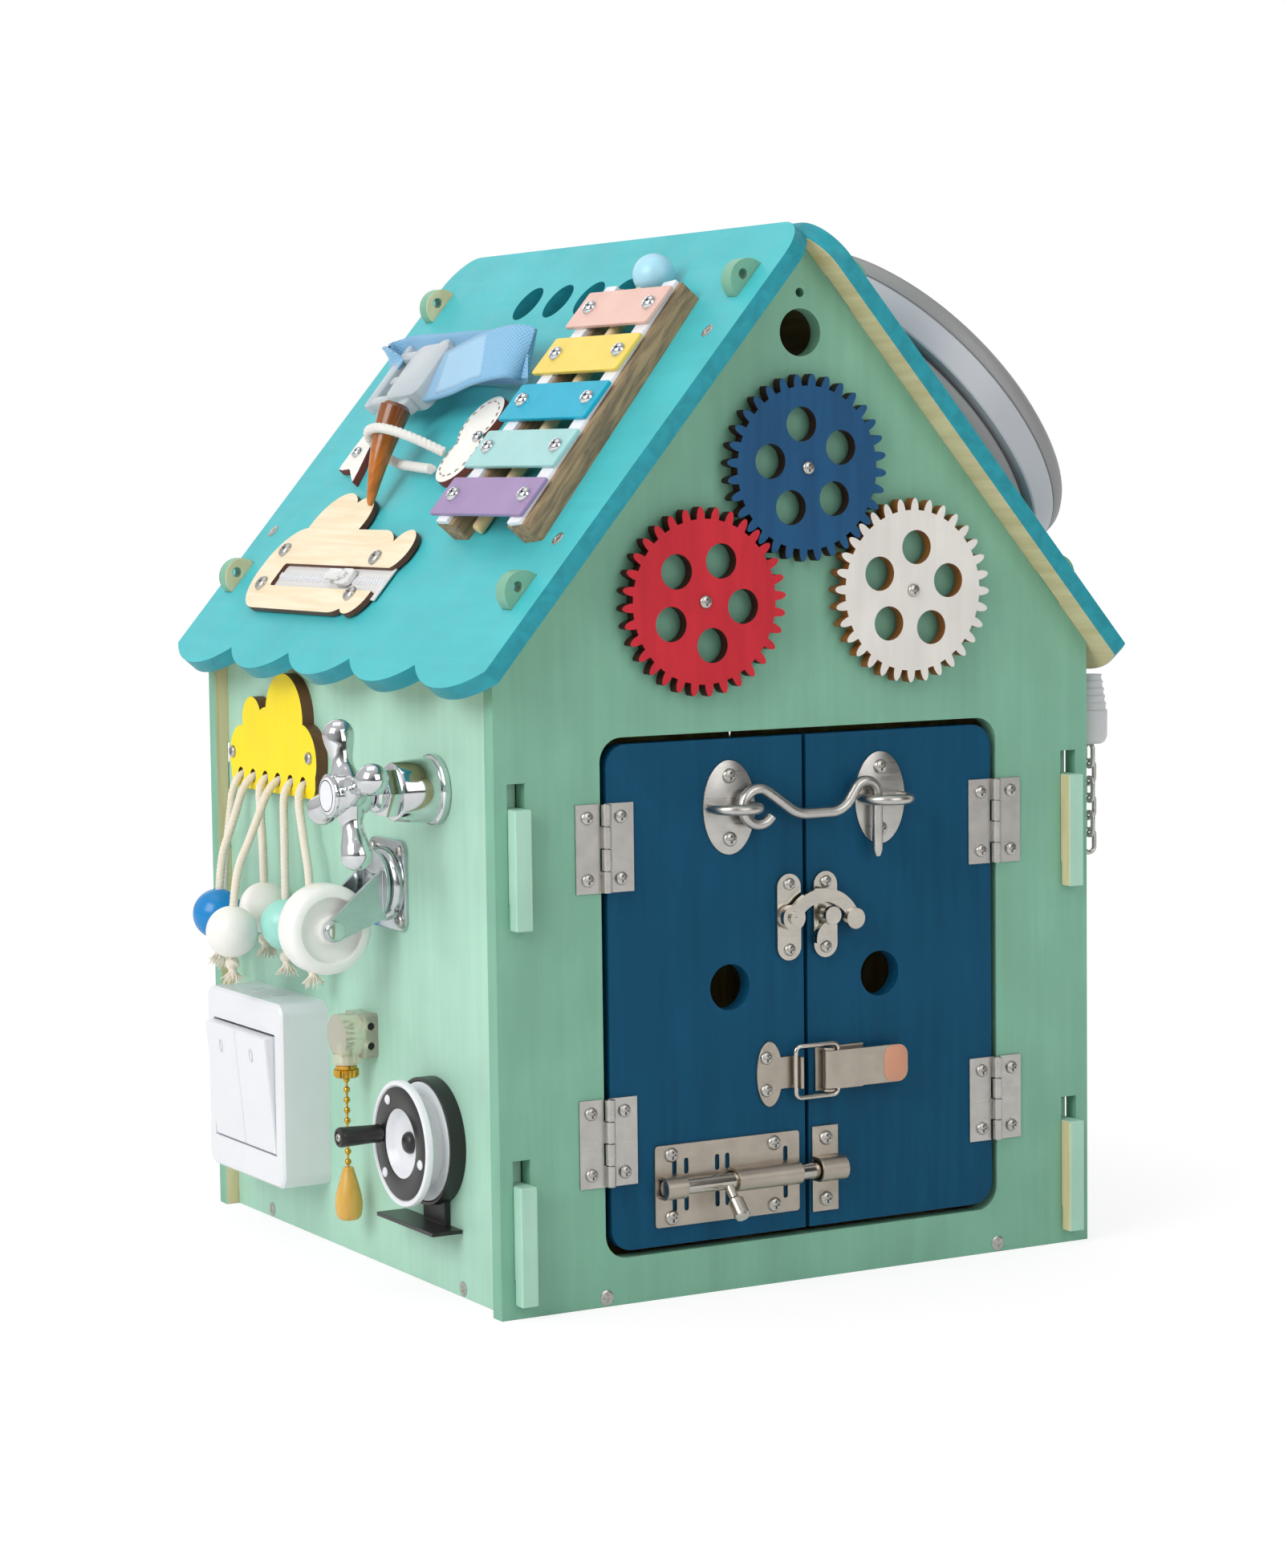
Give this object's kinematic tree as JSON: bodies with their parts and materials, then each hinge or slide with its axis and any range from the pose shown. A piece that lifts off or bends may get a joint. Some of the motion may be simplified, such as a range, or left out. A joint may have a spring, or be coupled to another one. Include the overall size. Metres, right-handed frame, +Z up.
{
  "type": "busy house",
  "caption": "Wooden activity house for a child: gabled box with latched doors, meshing gears, tap, switches, bead cords, xylophone and press lamp.",
  "frame": {"origin": "centre of the base on the ground", "axes": "+X to the right seen from the doors, +Y from the doors to the back, +Z up"},
  "size_m": [0.3761, 0.3325, 0.4616],
  "materials": {
    "green_ply": "matte",
    "mint_ply": "matte",
    "teal_ply": "matte",
    "birch_ply": "matte",
    "navy_ply": "matte",
    "yellow_ply": "matte",
    "blue_plastic": "satin",
    "red_plastic": "satin",
    "cream_plastic": "satin",
    "nickel": "satin",
    "steel": "satin",
    "chrome": "polished",
    "white_plastic": "gloss",
    "clear_plastic": "gloss",
    "black_metal": "satin",
    "brass": "polished",
    "pine": "matte",
    "painted_keys": "satin",
    "painted_beads": "satin",
    "cotton": "matte",
    "webbing": "matte",
    "white_leather": "matte",
    "horn": "satin",
    "zip_tape": "matte",
    "grey_plastic": "satin",
    "tyre_plastic": "satin"
  },
  "bodies": {
    "house": {"front_panel": "green_ply", "back_panel": "green_ply", "left_side_panel": "mint_ply", "right_side_panel": "mint_ply", "floor_panel": "birch_ply", "left_roof_panel": "teal_ply", "right_roof_panel": "teal_ply", "house_screws": "steel", "frame_hinges": "steel", "cloud_plate": "yellow_ply", "bead_cords": "cotton", "cord_beads": "painted_beads", "tap_body": "chrome", "caster_plate": "steel", "switch_box": "white_plastic", "pull_switch_body": "clear_plastic", "pull_switch_nut": "brass", "reel_frame": "black_metal", "xylophone_rails": "pine", "xylophone_keys": "painted_keys", "belt_strap": "webbing", "belt_buckle": "clear_plastic", "toggle_patches": "white_leather", "toggle_horn": "horn", "toggle_rope": "cotton", "zip_tape": "zip_tape", "zip_plate": "birch_ply", "lamp_base": "grey_plastic", "chain_pull": "grey_plastic"},
    "left_door": {"left_door": "navy_ply", "left_door_hinges": "steel", "left_eye": "steel", "swing_pivot_plate": "nickel", "draw_catch": "nickel", "bolt_housing": "nickel"},
    "right_door": {"right_door": "navy_ply", "right_door_hinges": "steel", "right_eye": "steel", "swing_catch_plate": "nickel", "draw_base": "nickel", "bolt_keeper": "nickel"},
    "gate_hook": {"gate_hook": "steel"},
    "swing_arm": {"swing_arm": "nickel"},
    "draw_lever": {"draw_lever": "nickel"},
    "draw_bail": {"draw_bail": "nickel"},
    "bolt_rod": {"bolt_rod": "nickel"},
    "blue_gear": {"blue_gear": "blue_plastic"},
    "red_gear": {"red_gear": "red_plastic"},
    "white_gear": {"white_gear": "cream_plastic"},
    "tap_handle": {"tap_handle": "chrome"},
    "caster_fork": {"caster_fork": "steel"},
    "caster_wheel": {"caster_wheel": "tyre_plastic"},
    "rocker_back": {"rocker_back": "white_plastic"},
    "rocker_front": {"rocker_front": "white_plastic"},
    "pull_chain": {"pull_chain": "brass"},
    "reel_spool": {"reel_spool": "black_metal"},
    "reel_knob": {"reel_knob": "black_metal"},
    "mallet": {"mallet": "pine"},
    "zip_slider": {"zip_slider": "nickel"},
    "lamp_cap": {"lamp_cap": "grey_plastic"}
  },
  "joints": [
    {"name": "left_door_swing", "type": "hinge", "parent": "house", "child": "left_door", "pos_m": [-0.1, -0.1524, 0.132], "axis": [0, 0, -1], "range_deg": [0, 105]},
    {"name": "right_door_swing", "type": "hinge", "parent": "house", "child": "right_door", "pos_m": [0.1, -0.1524, 0.132], "axis": [0, 0, 1], "range_deg": [0, 105]},
    {"name": "gate_hook_lift", "type": "hinge", "parent": "left_door", "child": "gate_hook", "pos_m": [-0.0272, -0.1564, 0.2109], "axis": [0, -1, 0], "range_deg": [0, 70]},
    {"name": "swing_arm_lift", "type": "hinge", "parent": "left_door", "child": "swing_arm", "pos_m": [-0.0094, -0.1552, 0.1613], "axis": [0, -1, 0], "range_deg": [0, 90]},
    {"name": "draw_lever_open", "type": "hinge", "parent": "right_door", "child": "draw_lever", "pos_m": [0.0088, -0.154, 0.093], "axis": [0, 0, -1], "range_deg": [0, 105]},
    {"name": "draw_bail_follow", "type": "hinge", "parent": "draw_lever", "child": "draw_bail", "pos_m": [0.0137, -0.154, 0.093], "axis": [0, 0, -1], "range_deg": [-105, 0]},
    {"name": "bolt_draw", "type": "slide", "parent": "left_door", "child": "bolt_rod", "axis": [-1, 0, 0], "range_m": [0, 0.016]},
    {"name": "blue_gear_turn", "type": "hinge", "parent": "house", "child": "blue_gear", "pos_m": [-0.0015, -0.15485, 0.356], "axis": [0, -1, 0], "continuous": true},
    {"name": "red_gear_turn", "type": "hinge", "parent": "house", "child": "red_gear", "pos_m": [-0.0535, -0.15485, 0.2999], "axis": [0, -1, 0], "continuous": true},
    {"name": "white_gear_turn", "type": "hinge", "parent": "house", "child": "white_gear", "pos_m": [0.0525, -0.15485, 0.3018], "axis": [0, -1, 0], "continuous": true},
    {"name": "tap_turn", "type": "hinge", "parent": "house", "child": "tap_handle", "pos_m": [-0.1875, -0.083, 0.2197], "axis": [-1, 0, 0], "range_deg": [-90, 90]},
    {"name": "caster_swivel", "type": "hinge", "parent": "house", "child": "caster_fork", "pos_m": [-0.1529, -0.0363, 0.1746], "axis": [-1, 0, 0], "range_deg": [-90, 90]},
    {"name": "caster_roll", "type": "hinge", "parent": "caster_fork", "child": "caster_wheel", "pos_m": [-0.1781, -0.0363, 0.1566], "axis": [0, 1, 0], "continuous": true},
    {"name": "rocker_back_rock", "type": "hinge", "parent": "house", "child": "rocker_back", "pos_m": [-0.166, 0.0935, 0.07], "axis": [0, 1, 0], "range_deg": [0, 10.39]},
    {"name": "rocker_front_rock", "type": "hinge", "parent": "house", "child": "rocker_front", "pos_m": [-0.166, 0.0585, 0.07], "axis": [0, 1, 0], "range_deg": [0, 10.39]},
    {"name": "chain_pull_down", "type": "slide", "parent": "house", "child": "pull_chain", "axis": [0, 0, -1], "range_m": [0, 0.008], "stiffness_N_per_m": 200},
    {"name": "reel_spin", "type": "hinge", "parent": "house", "child": "reel_spool", "pos_m": [-0.1639, -0.0784, 0.06585], "axis": [-1, 0, 0], "continuous": true},
    {"name": "reel_knob_spin", "type": "hinge", "parent": "reel_spool", "child": "reel_knob", "pos_m": [-0.1643, -0.06, 0.06778], "axis": [-1, 0, 0], "continuous": true},
    {"name": "mallet_draw", "type": "slide", "parent": "house", "child": "mallet", "axis": [0.612, -0.0497, 0.7893], "range_m": [0, 0.14]},
    {"name": "zip_run", "type": "slide", "parent": "house", "child": "zip_slider", "axis": [0, 1, 0], "range_m": [0, 0.05]},
    {"name": "lamp_press", "type": "slide", "parent": "house", "child": "lamp_cap", "axis": [-0.762, 0, -0.6476], "range_m": [0, 0.002], "stiffness_N_per_m": 400}
  ],
  "couplings": [
    {"joint": "red_gear_turn", "follows": "blue_gear_turn", "ratio": -1},
    {"joint": "white_gear_turn", "follows": "blue_gear_turn", "ratio": -1},
    {"joint": "draw_bail_follow", "follows": "draw_lever_open", "ratio": -1}
  ]
}
